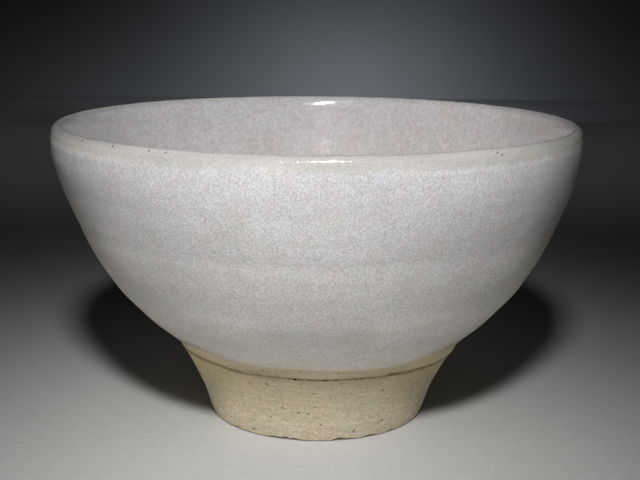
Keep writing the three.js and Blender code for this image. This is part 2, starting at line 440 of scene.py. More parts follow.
# ================================================================ the materials
class Nodes:
    """Short calls for building a material's nodes."""

    def __init__(self, name):
        self.mat = bpy.data.materials.new(name)
        self.mat.use_nodes = True
        self.tree = self.mat.node_tree
        self.tree.nodes.clear()
        self.out = self.tree.nodes.new("ShaderNodeOutputMaterial")
        self.bsdf = self.tree.nodes.new("ShaderNodeBsdfPrincipled")
        self.tree.links.new(self.bsdf.outputs[0], self.out.inputs["Surface"])
        coord = self.tree.nodes.new("ShaderNodeTexCoord")
        self.p = self.vec("SCALE", coord.outputs["Object"], scale=1000.0)
        sep = self.tree.nodes.new("ShaderNodeSeparateXYZ")
        self.link(self.p, sep.inputs[0])
        self.x, self.y, self.z = sep.outputs

    def link(self, a, b):
        self.tree.links.new(a, b)

    def put(self, value, socket):
        if isinstance(value, bpy.types.NodeSocket):
            self.link(value, socket)
        else:
            socket.default_value = value

    def math(self, op, a, b=None, c=None, clamp=False):
        n = self.tree.nodes.new("ShaderNodeMath")
        n.operation = op
        n.use_clamp = clamp
        for i, v in enumerate((a, b, c)):
            if v is not None:
                self.put(v, n.inputs[i])
        return n.outputs[0]

    def vec(self, op, a, b=None, scale=None):
        n = self.tree.nodes.new("ShaderNodeVectorMath")
        n.operation = op
        self.put(a, n.inputs[0])
        if b is not None:
            self.put(b, n.inputs[1])
        if scale is not None:
            n.inputs["Scale"].default_value = scale
        return n.outputs["Value"] if op in ("DISTANCE", "LENGTH", "DOT_PRODUCT") else n.outputs[0]

    def noise(self, scale, detail=2.0, rough=0.5, stretch=(1, 1, 1), offset=(0, 0, 0), distort=0.0):
        v = self.p
        if tuple(stretch) != (1, 1, 1):
            v = self.vec("MULTIPLY", v, tuple(stretch))
        if tuple(offset) != (0, 0, 0):
            v = self.vec("ADD", v, tuple(offset))
        n = self.tree.nodes.new("ShaderNodeTexNoise")
        n.inputs["Scale"].default_value = scale
        n.inputs["Detail"].default_value = detail
        n.inputs["Roughness"].default_value = rough
        n.inputs["Distortion"].default_value = distort
        self.link(v, n.inputs["Vector"])
        return n.outputs[0]

    def voronoi(self, scale, feature="F1", stretch=(1, 1, 1), offset=(0, 0, 0), rand=1.0):
        v = self.p
        if tuple(stretch) != (1, 1, 1):
            v = self.vec("MULTIPLY", v, tuple(stretch))
        if tuple(offset) != (0, 0, 0):
            v = self.vec("ADD", v, tuple(offset))
        n = self.tree.nodes.new("ShaderNodeTexVoronoi")
        n.feature = feature
        n.inputs["Scale"].default_value = scale
        n.inputs["Randomness"].default_value = rand
        self.link(v, n.inputs["Vector"])
        return n

    def range(self, v, a, b, lo=0.0, hi=1.0, smooth=True):
        n = self.tree.nodes.new("ShaderNodeMapRange")
        n.interpolation_type = "SMOOTHSTEP" if smooth else "LINEAR"
        self.put(v, n.inputs["Value"])
        self.put(a, n.inputs["From Min"])
        self.put(b, n.inputs["From Max"])
        self.put(lo, n.inputs["To Min"])
        self.put(hi, n.inputs["To Max"])
        return n.outputs[0]

    def mix(self, fac, a, b, how="MIX"):
        n = self.tree.nodes.new("ShaderNodeMix")
        n.data_type = "RGBA"
        n.blend_type = how
        self.put(fac, n.inputs["Factor"])
        ia = [i for i in n.inputs if i.name == "A" and i.type == "RGBA"][0]
        ib = [i for i in n.inputs if i.name == "B" and i.type == "RGBA"][0]
        for v, s in ((a, ia), (b, ib)):
            if isinstance(v, tuple):
                v = (*v, 1.0)
            self.put(v, s)
        return [o for o in n.outputs if o.type == "RGBA"][0]

    def tag(self, name):
        """A number kept on the mesh's points."""
        n = self.tree.nodes.new("ShaderNodeAttribute")
        n.attribute_name = name
        return n.outputs["Fac"]

    def scale_color(self, color, factor):
        """color times a grey factor."""
        n = self.tree.nodes.new("ShaderNodeVectorMath")
        n.operation = "SCALE"
        self.put(color, n.inputs[0])
        self.put(factor, n.inputs["Scale"])
        return n.outputs[0]

    def bump(self, height, strength, distance, normal=None):
        n = self.tree.nodes.new("ShaderNodeBump")
        n.inputs["Strength"].default_value = strength
        n.inputs["Distance"].default_value = distance
        self.link(height, n.inputs["Height"])
        if normal is not None:
            self.link(normal, n.inputs["Normal"])
        return n.outputs[0]

    def done(self, color, rough, normal, specular=0.5, ior=1.5):
        self.put(color, self.bsdf.inputs["Base Color"])
        self.put(rough, self.bsdf.inputs["Roughness"])
        self.link(normal, self.bsdf.inputs["Normal"])
        self.bsdf.inputs["Specular IOR Level"].default_value = specular
        self.bsdf.inputs["IOR"].default_value = ior
        return self.mat


def add(m, *values):
    total = values[0]
    for v in values[1:]:
        total = m.math("ADD", total, v)
    return total


# pinholes in the glaze near the lip: direction, height, radius, strength
PINHOLES = [(-142.8, 73.8, 0.29, 1.0), (-132.0, 73.7, 0.25, 0.9), (-122.6, 73.7, 0.19, 0.9),
            (-118.8, 73.7, 0.19, 0.9), (-71.4, 72.7, 0.16, 0.35), (-55.2, 73.5, 0.20, 0.8),
            (-54.2, 72.9, 0.17, 0.8), (24.0, 72.1, 0.26, 1.0),
            (57.0, 71.4, 0.20, 0.8), (101.0, 72.4, 0.28, 1.0), (133.0, 71.8, 0.20, 0.8)]


def outside_at(deg, hz):
    """The point on the glaze outside, the lip's rounding included."""
    n = int(np.argmax(SKIN[:, 1]))
    s = np.interp(hz, SKIN[:n, 1], SIGMA[:n])
    d = np.array([float(deg)])
    r, z = place(s, d, coat_stand(s, d))
    a = math.radians(deg)
    return float(r[0]) * math.cos(a), float(r[0]) * math.sin(a), float(z[0])


def glaze(name, inside):
    """Pale milky glaze over buff clay. It breaks to cream where it runs thin
    over the lip and has a fine grey mottle everywhere else."""
    m = Nodes(name)
    z = m.z
    # mottle: even grain, drawn out into short runs just under the lip
    if inside:
        grain = m.noise(0.95, 2.0, 0.6)
        fine = m.noise(1.9, 1.5, 0.6, offset=(13, 5, 7))
        blend = m.math("ADD", m.math("MULTIPLY", grain, 0.60), m.math("MULTIPLY", fine, 0.40))
        spots = m.range(blend, 0.34, 0.65)
    else:
        grain = m.noise(2.5, 2.0, 0.62)
        fine = m.noise(5.0, 1.0, 0.55, offset=(13, 5, 7))
        runs = m.noise(2.7, 1.5, 0.55, stretch=(1, 1, 0.42), offset=(3, 9, 1))
        near = m.range(z, 58.0, 71.0)
        even = m.math("ADD", m.math("MULTIPLY", grain, 0.58), m.math("MULTIPLY", fine, 0.42))
        drawn = m.math("ADD", m.math("MULTIPLY", runs, 0.6), m.math("MULTIPLY", fine, 0.4))
        k = m.math("MULTIPLY", near, 0.45)
        blend = m.math("ADD", m.math("MULTIPLY", even, m.math("SUBTRACT", 1.0, k)),
                       m.math("MULTIPLY", drawn, k))
        spots = m.range(blend, m.range(near, 0, 1, 0.362, 0.372), m.range(near, 0, 1, 0.622, 0.618))
    patch = m.noise(0.085, 2.0, 0.5, offset=(40, 0, 20))
    tint = m.noise(0.20, 1.0, 0.5, offset=(0, 70, 0))

    if inside:
        dark, light = (0.592, 0.578, 0.586), (0.758, 0.744, 0.752)
    else:
        dark, light = (0.470, 0.457, 0.456), (0.757, 0.755, 0.768)
    color = m.mix(spots, dark, light)
    # sparse darker points of iron
    pepper = m.voronoi(0.62, offset=(5, 5, 5))
    dot = m.range(pepper.outputs["Distance"], 0.15, 0.05)
    color = m.mix(m.math("MULTIPLY", dot, 0.24), color, (0.30, 0.265, 0.240))
    # small clouds of colour in the glaze: a touch green, a touch pink
    green = m.noise(0.42, 1.5, 0.6, offset=(61, 7, 3))
    pink = m.noise(0.95, 1.5, 0.6, offset=(7, 44, 13))
    color = m.mix(m.range(green, 0.36, 0.64), color, (0.960, 0.996, 0.974) if inside else (0.964, 1.0, 0.978), "MULTIPLY")
    color = m.mix(m.range(pink, 0.36, 0.64), color, (1.028, 0.966, 0.972) if inside else (1.016, 0.972, 0.988), "MULTIPLY")
    # slow drifts: bluish milk against pinkish beige
    color = m.mix(m.math("MULTIPLY", m.range(tint, 0.42, 0.62), 0.8), color,
                  (1.0, 0.972, 0.958), "MULTIPLY")
    color = m.mix(m.math("MULTIPLY", m.range(patch, 0.38, 0.62), 0.8), color,
                  (1.025, 1.035, 1.062), "MULTIPLY")
    cloud = m.noise(0.30, 2.0, 0.55, offset=(31, 2, 60))
    color = m.mix(m.range(cloud, 0.36, 0.64), color, (0.958, 0.958, 0.955), "MULTIPLY")
    if inside:
        # painted light and shade across the inside: lighter and warmer towards +X, darker and bluer towards -X
        painted_light_across = m.range(m.x, -62.0, 62.0, smooth=False)
        color = m.mix(1.0, color, m.mix(painted_light_across, (0.850, 0.862, 0.900), (1.150, 1.138, 1.120)), "MULTIPLY")
        # painted shade: darker at both ends of the inside, where the light grazes
        color = m.mix(m.range(m.math("ABSOLUTE", m.x), 47.0, 60.0), color, (0.905, 0.902, 0.905), "MULTIPLY")
        # a touch warmer lower down
        color = m.mix(m.range(z, 70.0, 56.0), color, (1.008, 0.984, 0.955), "MULTIPLY")
    else:
        # thicker, whiter glaze gathers in a band under the lip
        under_lip_band = m.math("MULTIPLY", m.range(z, 60.0, 69.0), m.range(z, 72.4, 70.6))
        color = m.mix(under_lip_band, color, (1.0, 1.003, 1.020), "MULTIPLY")
        # and it is thinner and warmer towards the foot
        color = m.mix(m.range(z, 62.0, 22.0), color, (1.03, 1.0, 0.915), "MULTIPLY")
        # painted light: lighter on the lowest glaze, which faces down
        color = m.mix(m.range(z, 31.0, 21.0), color, (1.15, 1.145, 1.135), "MULTIPLY")
        # darker on a low patch at the front of the wall
        low = m.range(m.vec("DISTANCE", m.p, (0.0, -52.0, 40.0)), 21.0, 5.0)
        color = m.mix(low, color, (0.905, 0.905, 0.915), "MULTIPLY")
        # painted light: lighter at the two sides, most low on the left and right of the wall and under the lip
        left, right = m.range(m.x, -12.0, -40.0), m.range(m.x, 12.0, 40.0)
        color = m.mix(left, color, (1.045, 1.045, 1.045), "MULTIPLY")
        color = m.mix(right, color, (1.035, 1.035, 1.035), "MULTIPLY")
        color = m.mix(m.math("MULTIPLY", m.range(m.x, -30.0, -50.0), m.range(z, 62.0, 48.0)), color,
                      (1.21, 1.205, 1.19), "MULTIPLY")
        color = m.mix(m.math("MULTIPLY", m.range(m.x, 30.0, 48.0), m.range(z, 58.0, 44.0)), color,
                      (1.12, 1.12, 1.11), "MULTIPLY")
        color = m.mix(m.math("MULTIPLY", under_lip_band, m.math("ADD", right, m.math("MULTIPLY", left, 0.30))), color,
                      (1.105, 1.105, 1.11), "MULTIPLY")

        # lighter low on the wall and darker above it, at both sides of the front: partly the glaze's tone, partly
        # painted light and shade
        side = m.math("MULTIPLY", m.range(m.math("ABSOLUTE", m.x), 8.0, 18.0),
                      m.range(m.math("ABSOLUTE", m.x), 46.0, 32.0))
        waist = m.mix(m.range(z, 39.8, 33.6), (0.925, 0.925, 0.925), (1.15, 1.15, 1.15))
        waist = m.mix(m.range(z, 32.0, 27.0), waist, (1.0, 1.0, 1.0))
        waist = m.mix(m.range(z, 54.0, 66.0), waist, (1.0, 1.0, 1.0))
        color = m.mix(side, color, waist, "MULTIPLY")
        color = m.mix(m.math("MULTIPLY", m.math("MULTIPLY", side, m.range(m.x, 4.0, 12.0)), m.math(
            "MULTIPLY", m.range(z, 59.0, 64.0), m.range(z, 72.0, 70.0))), color, (1.06, 1.06, 1.06), "MULTIPLY")

    # the lip: cream, where the glaze is thin, with a ragged lower margin
    if inside:
        lip = m.math("MULTIPLY", m.range(z, HEIGHT - 0.9, HEIGHT - 0.2), 0.5)
    else:
        rag = m.noise(0.9, 2.5, 0.6, stretch=(1, 1, 0.22), offset=(8, 2, 6))
        slow = m.noise(0.13, 1.0, 0.5, offset=(0, 0, 30))
        level = m.math("ADD", z, m.math("MULTIPLY", m.math("SUBTRACT", rag, 0.5), 2.6))
        level = m.math("ADD", level, m.math("MULTIPLY", m.math("SUBTRACT", slow, 0.5), 1.5))
        lip = m.range(level, HEIGHT - 4.1, HEIGHT - 2.2)
    creamy = m.mix(m.range(fine, 0.38, 0.62), (0.505, 0.482, 0.443), (0.640, 0.619, 0.584))
    color = m.mix(m.math("MULTIPLY", lip, 0.88), color, creamy)
    # painted shade: the lip's top darker, more so at both ends
    ends = m.range(m.math("ABSOLUTE", m.x), 30.0, 61.0)
    color = m.mix(m.range(z, 72.5, 73.7), color, (0.91, 0.91, 0.92), "MULTIPLY")
    color = m.mix(m.math("MULTIPLY", ends, m.range(z, 72.4, 73.8)), color, (0.82, 0.83, 0.85), "MULTIPLY")
    if not inside:
        # painted shade on the lip's top at the near left and in the middle; painted light at the near right
        near_left = m.math("MULTIPLY", m.range(m.x, -7.0, -17.0), m.range(m.x, -41.0, -31.0))
        rim_top = m.range(z, 74.0, 73.3)
        color = m.mix(m.math("MULTIPLY", near_left, m.math("MULTIPLY", rim_top, m.range(z, 69.6, 70.9))), color,
                      (0.885, 0.885, 0.885), "MULTIPLY")
        middle_ = m.range(m.math("ABSOLUTE", m.x), 15.0, 6.0)
        color = m.mix(m.math("MULTIPLY", middle_, m.math("MULTIPLY", rim_top, m.range(z, 69.8, 71.0))), color,
                      (0.94, 0.94, 0.94), "MULTIPLY")
        near_right = m.math("MULTIPLY", m.range(m.x, 22.0, 32.0), m.range(m.x, 53.0, 45.0))
        color = m.mix(m.math("MULTIPLY", near_right, m.range(z, 71.2, 73.0)), color, (1.13, 1.13, 1.13), "MULTIPLY")
        # painted shade: darker at the right edge under the lip
        color = m.mix(m.math("MULTIPLY", m.range(m.x, 47.0, 58.0), m.math(
            "MULTIPLY", m.range(z, 72.8, 70.6), m.range(z, 60.0, 65.0))), color, (0.77, 0.765, 0.75), "MULTIPLY")
        # lighter in a band from about 55 to 62 mm high
        color = m.mix(m.math("MULTIPLY", m.range(z, 55.3, 57.3), m.range(z, 62.0, 59.6)), color,
                      (1.045, 1.045, 1.045), "MULTIPLY")
        # painted light: lighter just below the lip, most at both ends
        below = m.math("MULTIPLY", m.range(z, 69.6, 70.8), m.range(z, 73.4, 72.4))
        color = m.mix(below, color, (1.05, 1.05, 1.05), "MULTIPLY")
        color = m.mix(m.math("MULTIPLY", ends, below), color, (1.19, 1.185, 1.165), "MULTIPLY")
        # painted shade: darker on the right of the wall
        color = m.mix(m.math("MULTIPLY", m.range(m.x, 44.0, 56.0), m.range(z, 64.0, 52.0)), color,
                      (0.73, 0.72, 0.685), "MULTIPLY")
        # warmer on the left of the wall
        color = m.mix(m.math("MULTIPLY", m.range(m.x, -44.0, -58.0), m.range(z, 66.0, 54.0)), color,
                      (1.0, 0.985, 0.95), "MULTIPLY")

    # pinholes: small dark pits through to the clay
    holes = None
    if not inside:
        for deg, hz, rad, k in PINHOLES:
            d = m.vec("DISTANCE", m.p, outside_at(deg, hz))
            h = m.range(d, rad + 0.16, rad * 0.55, 0.0, k)
            holes = h if holes is None else m.math("MAXIMUM", holes, h)
    tiny = m.voronoi(0.24, offset=(17, 3, 9))
    speck = m.math("MULTIPLY", m.range(tiny.outputs["Distance"], 0.062, 0.030),
                   m.range(z, 66.0, 73.0))
    holes = m.math("MULTIPLY", speck, 0.4) if holes is None else m.math(
        "MAXIMUM", holes, m.math("MULTIPLY", speck, 0.35))
    color = m.mix(m.math("MULTIPLY", holes, 0.85), color, (0.085, 0.065, 0.045))

    if not inside:
        # towards its lower edge the glaze thins out over the clay, peach first
        ragged = m.math("ADD", m.tag("edge_d"), m.math(
            "MULTIPLY", m.math("SUBTRACT", m.noise(0.8, 2.5, 0.6, offset=(4, 4, 40)), 0.5), 1.1))
        color = m.mix(m.range(ragged, 3.2, 0.9), color, (1.03, 0.972, 0.945), "MULTIPLY")
        color = m.mix(m.range(ragged, 1.25, 0.10), color,
                      m.mix(m.range(grain, 0.36, 0.64), (0.655, 0.572, 0.445), (0.820, 0.740, 0.608)))
        # painted shade: a brown shade along the glaze's lower edge
        color = m.mix(m.tag("edge_shade"), color, (0.215, 0.180, 0.142))

    # gloss and surface
    if inside:
        rough = m.math("ADD", m.range(z, 60.0, 71.0, 0.23, 0.150), m.range(
            m.noise(0.7, 2.0, 0.5, offset=(1, 1, 1)), 0.3, 0.7, -0.02, 0.04))
    else:
        rough = m.range(m.noise(0.7, 2.0, 0.5, offset=(1, 1, 1)), 0.3, 0.7, 0.30, 0.44)
        rough = m.mix(m.range(z, HEIGHT - 3.0, HEIGHT - 0.9), rough, (0.115, 0.115, 0.115))
        rough = m.math("ADD", rough, m.range(m.tag("edge_d"), 1.0, 0.1, 0.0, 0.35))
    rough = m.math("ADD", rough, m.math("MULTIPLY", holes, 0.4))
    wave = m.noise(0.42, 1.5, 0.5, offset=(21, 3, 5))
    peel = m.noise(1.5, 1.0, 0.5, offset=(2, 31, 5))
    height = m.math("ADD", m.math("MULTIPLY", wave, 0.60), m.math("MULTIPLY", peel, 0.24))
    height = m.math("ADD", height, m.math("MULTIPLY", fine, 0.10 if inside else 0.16))
    height = m.math("SUBTRACT", height, m.math("MULTIPLY", holes, 1.6))
    if not inside:
        ripple = m.noise(1.6, 1.5, 0.6, offset=(9, 9, 9))
        height = m.math("ADD", height, m.math("MULTIPLY", ripple, m.range(
            z, HEIGHT - 3.0, HEIGHT - 1.2, 0.0, 1.15)))
    normal = m.bump(height, 1.0, 0.00006 if inside else 0.00009)
    return m.done(color, rough, normal)


FOOT_OUT = spline([(26.98, 0.42), (27.84, 2.56), (28.82, 5.76), (30.09, 8.96),
                   (31.60, 12.16), (33.05, 15.04), (34.72, 17.85)], 0.02)


def clay_radius(z):
    """Radius of the bare clay's outside, on the foot or on the band above."""
    if z < 17.9:
        return float(np.interp(z, FOOT_OUT[:, 1], FOOT_OUT[:, 0]))
    r, _, nr, _ = skin(at_height(z))
    return float(r - BAND * nr)


# the plainest dark pits in the bare clay at the front: direction, height, radius
CLAY_MARKS = [(-98.3, 7.9, 0.30), (-110.5, 15.7, 0.33), (-124.0, 1.3, 0.40),
              (-71.2, 2.3, 0.30), (-105.5, 9.0, 0.26), (-55.8, 4.0, 0.28),
              (-60.8, 13.3, 0.30), (-90.5, 9.8, 0.22), (-93.8, 7.7, 0.24),
              (-112.2, 6.1, 0.20), (-88.0, 4.6, 0.22), (-91.2, 13.7, 0.20),
              (-40.0, 8.5, 0.30), (-56.5, 10.2, 0.22), (-96.2, 20.3, 0.26),
              (-101.0, 20.4, 0.18), (-81.8, 20.0, 0.16), (-110.5, 19.9, 0.17)]


def clay(name, low, high, upper_tone_and_shade, foot=False):
    """Bare buff stoneware: fine grit, iron specks and turning marks."""
    m = Nodes(name)
    z = m.z
    grit = m.noise(2.9, 2.0, 0.62)
    grain = m.noise(0.95, 2.5, 0.6, offset=(9, 1, 4))
    drift = m.noise(0.12, 2.0, 0.5, offset=(3, 3, 3))
    marks = m.noise(1.7, 2.5, 0.6, stretch=(0.14, 0.14, 1.0), offset=(2, 2, 8))
    marks = m.math("ADD", m.math("MULTIPLY", m.math("SUBTRACT", marks, 0.5), m.range(z, 1.2, 3.6)), 0.5)
    body = m.math("ADD", m.math("MULTIPLY", grit, 0.50), m.math("MULTIPLY", grain, 0.28))
    body = m.math("ADD", body, m.math("MULTIPLY", marks, 0.22))
    tone = m.range(body, 0.395, 0.605)
    color = m.mix(tone, low, high)
    # darker and more olive towards the top, partly the clay's tone and partly painted shade under the bowl
    up = m.range(z, 4.0, 17.5)
    color = m.mix(m.math("MULTIPLY", up, 0.50), color, upper_tone_and_shade)
    color = m.mix(m.range(m.noise(0.5, 2.0, 0.6, offset=(13, 3, 3)), 0.36, 0.64), color,
                  (0.955, 1.0, 0.965), "MULTIPLY")
    color = m.mix(m.range(drift, 0.42, 0.64), color, (1.03, 0.990, 0.985), "MULTIPLY")
    if foot:
        # painted shade: darker towards the top of the foot, under the bowl
        color = m.mix(m.range(z, 10.0, 15.5), color, (0.880, 0.870, 0.850), "MULTIPLY")
        # bluer low down
        color = m.mix(m.range(z, 10.0, 3.0), color, (1.0, 1.01, 1.07), "MULTIPLY")
        # painted light: warmer and lighter on the left, darker on the right, lighter at both sides and most on the
        # upper sides
        color = m.mix(m.range(m.x, -27.0, 27.0, smooth=False), m.mix(
            1.0, color, (1.105, 1.085, 1.050), "MULTIPLY"), m.mix(
            1.0, color, (0.950, 0.945, 0.965), "MULTIPLY"))
        color = m.mix(m.range(m.x, -9.0, -26.0), color, (1.215, 1.20, 1.17), "MULTIPLY")
        color = m.mix(m.range(m.x, 9.0, 26.0), color, (1.09, 1.07, 1.0), "MULTIPLY")
        top = m.range(z, 11.0, 15.5)
        color = m.mix(m.math("MULTIPLY", top, m.range(m.x, -8.0, -24.0)), color, (1.25, 1.24, 1.16), "MULTIPLY")
        color = m.mix(m.math("MULTIPLY", top, m.range(m.x, 8.0, 22.0)), color, (1.24, 1.23, 1.15), "MULTIPLY")
    else:
        # painted light and shade on the band: darker near the joint, lighter up under the glaze edge and at both
        # sides
        upper = m.range(m.tag("seam_d"), 0.5, 2.3)
        shade = m.mix(upper, (0.80, 0.795, 0.77), (1.22, 1.21, 1.18))
        shade = m.mix(m.range(m.x, -6.0, -26.0), shade, m.mix(upper, (1.45, 1.42, 1.33), (1.34, 1.32, 1.27)))
        shade = m.mix(m.range(m.x, 6.0, 26.0), shade, m.mix(upper, (1.34, 1.32, 1.22), (1.29, 1.28, 1.22)))
        color = m.mix(1.0, color, shade, "MULTIPLY")
    # pale grog and dark iron, of several sizes
    grog = m.voronoi(0.9, offset=(2, 8, 1))
    color = m.mix(m.math("MULTIPLY", m.range(grog.outputs["Distance"], 0.22, 0.06), 0.38),
                  color, (0.72, 0.66, 0.54))
    spots = None
    for scale, offset, size, keep_, k in ((0.42, (1, 4, 7), 0.115, 0.60, 0.85), (0.85, (11, 4, 7), 0.13, 0.40, 0.66),
                                          (1.7, (5, 14, 3), 0.17, 0.30, 0.48)):
        v = m.voronoi(scale, offset=offset)
        sep = m.tree.nodes.new("ShaderNodeSeparateColor")
        m.link(v.outputs["Color"], sep.inputs[0])
        on = m.range(sep.outputs[0], keep_, min(keep_ + 0.25, 1.0))
        edge = m.math("MULTIPLY", m.math("ADD", 0.55, sep.outputs[1]), size)
        dot = m.range(v.outputs["Distance"], edge, m.math("MULTIPLY", edge, 0.35))
        dot = m.math("MULTIPLY", m.math("MULTIPLY", dot, on), k)
        spots = dot if spots is None else m.math("MAXIMUM", spots, dot)
    for deg, hz, rad in CLAY_MARKS:
        a = math.radians(deg)
        if (hz > 18.2) == foot:
            continue
        r = clay_radius(hz)
        d = m.vec("DISTANCE", m.p, (r * math.cos(a), r * math.sin(a), hz))
        spots = m.math("MAXIMUM", spots, m.range(d, rad + 0.22, rad * 0.5))
    color = m.mix(m.math("MULTIPLY", spots, 0.72), color, (0.120, 0.088, 0.050))
    # a dark slip stain on both sides of the joint, partly painted shade that also darkens the lit shoulders beside
    # it, less on the left
    sd = m.math("ADD", m.tag("seam_d"), m.math(
        "MULTIPLY", m.math("SUBTRACT", m.noise(1.1, 2.0, 0.6, offset=(30, 2, 2)), 0.5), 0.35))
    stain_and_shade = m.range(sd, -1.10, -0.18) if foot else m.range(sd, 0.95, 0.18)
    color = m.mix(m.math("MULTIPLY", stain_and_shade, m.range(m.x, -8.0, -24.0, 0.52, 0.26)), color, (0.270, 0.210, 0.128))
    height = m.math("ADD", m.math("MULTIPLY", grit, 0.55), m.math("MULTIPLY", grain, 0.45))
    height = m.math("ADD", height, m.math("MULTIPLY", marks, 0.50))
    height = m.math("SUBTRACT", height, m.math("MULTIPLY", spots, 0.45))
    rough = m.range(tone, 0.0, 1.0, 0.93, 0.80)
    normal = m.bump(height, 1.0, 0.00013)
    return m.done(color, rough, normal, specular=0.28)


def slip_material(name):
    m = Nodes(name)
    n = m.noise(1.3, 2.5, 0.6)
    along = m.noise(0.35, 2.0, 0.6, offset=(5, 5, 5))
    color = m.mix(m.range(n, 0.36, 0.64), (0.270, 0.212, 0.128), (0.450, 0.366, 0.240))
    color = m.mix(m.math("MULTIPLY", m.range(along, 0.50, 0.66), 0.55), color, (0.40, 0.33, 0.21))
    # painted light: the joint line lighter at both sides
    color = m.mix(m.range(m.x, -1.0, -20.0), color, (2.50, 2.43, 2.28), "MULTIPLY")
    color = m.mix(m.range(m.x, 6.0, 22.0), color, (1.30, 1.29, 1.26), "MULTIPLY")
    color = m.mix(m.math("MULTIPLY", m.tag("hole"), 0.8), color, (0.040, 0.030, 0.018))
    return m.done(color, m.range(n, 0.3, 0.7, 0.98, 0.86), m.bump(n, 1.0, 0.00015), specular=0.2)


OUTSIDE = glaze("glaze_outside", False)
INSIDE = glaze("glaze_inside", True)
CLAY = clay("bowl_clay", (0.535, 0.449, 0.312), (0.765, 0.664, 0.508), (0.585, 0.498, 0.360))
FOOT = clay("foot_clay", (0.485, 0.418, 0.292), (0.715, 0.640, 0.487), (0.475, 0.415, 0.297), foot=True)
SLIP = slip_material("seam_slip")

# ================================================================== the pieces
NF = 720            # columns of the glazed coats
NK = 864            # columns of the foot

# ---- outer_glaze: rolled edge, wall and lip, with a coarse hidden back
phi = degrees_round(NF)
edge_s = at_height(glaze_edge(phi))                 # where the coat begins
near = coat_rows()                                  # distances from the edge
wall = [near[-1] + 0.25]
while wall[-1] < 60.0:
    wall.append(wall[-1] + min(0.88, 0.25 + 0.05 * (wall[-1] - near[-1])))
base_s = float(np.mean(edge_s))
top = [s for s in np.arange(SPLIT - 7.0, SPLIT - 0.03, 0.24)]
middle = [base_s + w for w in wall if base_s + w < top[0] - 0.3]
roll = 0.9 * (1.0 + 0.12 * noise1(phi, 30, 41))     # how far the edge stands out


def edge_stand(d, phi):
    """How far the coat's edge stands off the section at distance d from the
    glaze line: a rounded ramp, a bead, then the wall's own coat."""
    run = periodic([(-150, 1.4), (-125, 1.5), (-105, 2.0), (-80, 2.3), (-60, 2.2),
                    (-40, 1.5), (-15, 1.0), (30, 1.3), (80, 1.0), (140, 1.2)], phi)
    fat = periodic([(-150, 0.10), (-125, 0.06), (-100, 0.05), (-80, 0.06), (-55, 0.08),
                    (-20, 0.16), (30, 0.14), (80, 0.22), (140, 0.16)], phi)
    q = np.clip(d / run, 0.0, 1.0)
    rise = 1.0 - (1.0 - q) ** 2
    bead = fat * (1.0 + 0.35 * noise1(phi, 34, 42)) * np.exp(-(np.maximum(d - run, 0.0) / 2.2) ** 2)
    return (BAND + bead) * rise - BAND - 0.05 * (1.0 - q)


t = Turned()
for d in near:
    s = edge_s + d
    stand = edge_stand(d, phi) + coat_stand(s, phi) * smoothstep(0.0, 1.2, d)
    t.ring(NF, *place(s, phi, stand))
for s0 in middle:
    d0 = s0 - base_s
    s = s0 + (edge_s - base_s) * smoothstep(12.0, 2.0, d0)
    stand = edge_stand(s - edge_s, phi) + coat_stand(s, phi)
    t.ring(NF, *place(s, phi, stand))
for s0 in [*top, SPLIT - 0.02, SPLIT]:
    t.ring(NF, *place(s0, phi, coat_stand(s0, phi)))
lip_r, lip_z = place(SPLIT, phi, coat_stand(SPLIT, phi))
BACK = -0.50
for s0 in (SPLIT, SPLIT - 1.0, SPLIT - 2.0, SPLIT - 3.4):
    t.ring(NF if s0 == SPLIT else NF // 2, *place(
        s0, phi if s0 == SPLIT else phi[::2], BACK))
back = np.linspace(SPLIT - 6.0, base_s + 2.2, 22)
for s0 in back:
    t.ring(NF // 2, *place(s0, phi[::2], BACK))
t.ring(NF, *place(edge_s + 0.6, phi, -COAT - 0.02))
t.close()
outer = t.make("outer_glaze_coat", OUTSIDE, edge_d=lambda p, z: z - glaze_edge(p),
               edge_shade=edge_shade)

# ---- inner_glaze: from the lip to the middle of the floor
t = Turned()
t.pole(24.0 - 0.55)
n = 90
hidden = [(LENGTH - 3.0, 90), (LENGTH - 8.0, 90), (LENGTH - 14.0, 90),
          (LENGTH - 20.0, 180), (LENGTH - 28.0, 180), (LENGTH - 38.0, 180),
          (LENGTH - 48.0, 360), (LENGTH - 58.0, 360), (LENGTH - 68.0, 360)]
for s0, n in hidden:
    t.ring(n, *place(s0, degrees_round(n), BACK))
lo = SPLIT + 3.4
for s0 in np.linspace(LENGTH - 74.0, lo, 4):
    if s0 > lo - 0.01:
        t.ring(360, *place(s0, degrees_round(360), BACK))
for s0 in (SPLIT + 2.0, SPLIT + 1.0):
    t.ring(360, *place(s0, degrees_round(360), BACK))
t.ring(NF, *place(SPLIT, phi, BACK))
t.ring(NF, lip_r, lip_z)
first = [SPLIT + 0.02, SPLIT + 0.12] + [SPLIT + x for x in np.arange(0.24, 7.0, 0.24)]
for s0 in first:
    t.ring(NF, *place(s0, phi, coat_stand(s0, phi)))
s0 = first[-1] + 0.45
while LENGTH - s0 > 2.2:
    d = LENGTH - s0
    n = NF if d > 24 else 360 if d > 12 else 180 if d > 6 else 90
    t.ring(n, *place(s0, degrees_round(n), coat_stand(s0, degrees_round(n))))
    s0 += 0.78
for d in (1.4, 0.7):
    t.ring(45 if d < 1 else 90, *place(LENGTH - d, degrees_round(45 if d < 1 else 90),
                                       coat_stand(LENGTH - d, degrees_round(45 if d < 1 else 90))))
t.pole(float(24.0 + np.mean(coat_stand(LENGTH - 0.2, phi))))
t.first_fan()
inner = t.make("inner_glaze_coat", INSIDE)


# ---- the foot


def pits(seed, count, lo, hi, rad, depth, stretch=1.6):
    """Random pits or grains: direction, height, width, height of each, depth."""
    rng = np.random.RandomState(seed)
    out = []
    for _ in range(count):
        w = rng.uniform(*rad)
        out.append((rng.uniform(0, 360), rng.uniform(lo, hi), w * rng.uniform(1.0, stretch),
                    w, rng.uniform(*depth)))
    return out


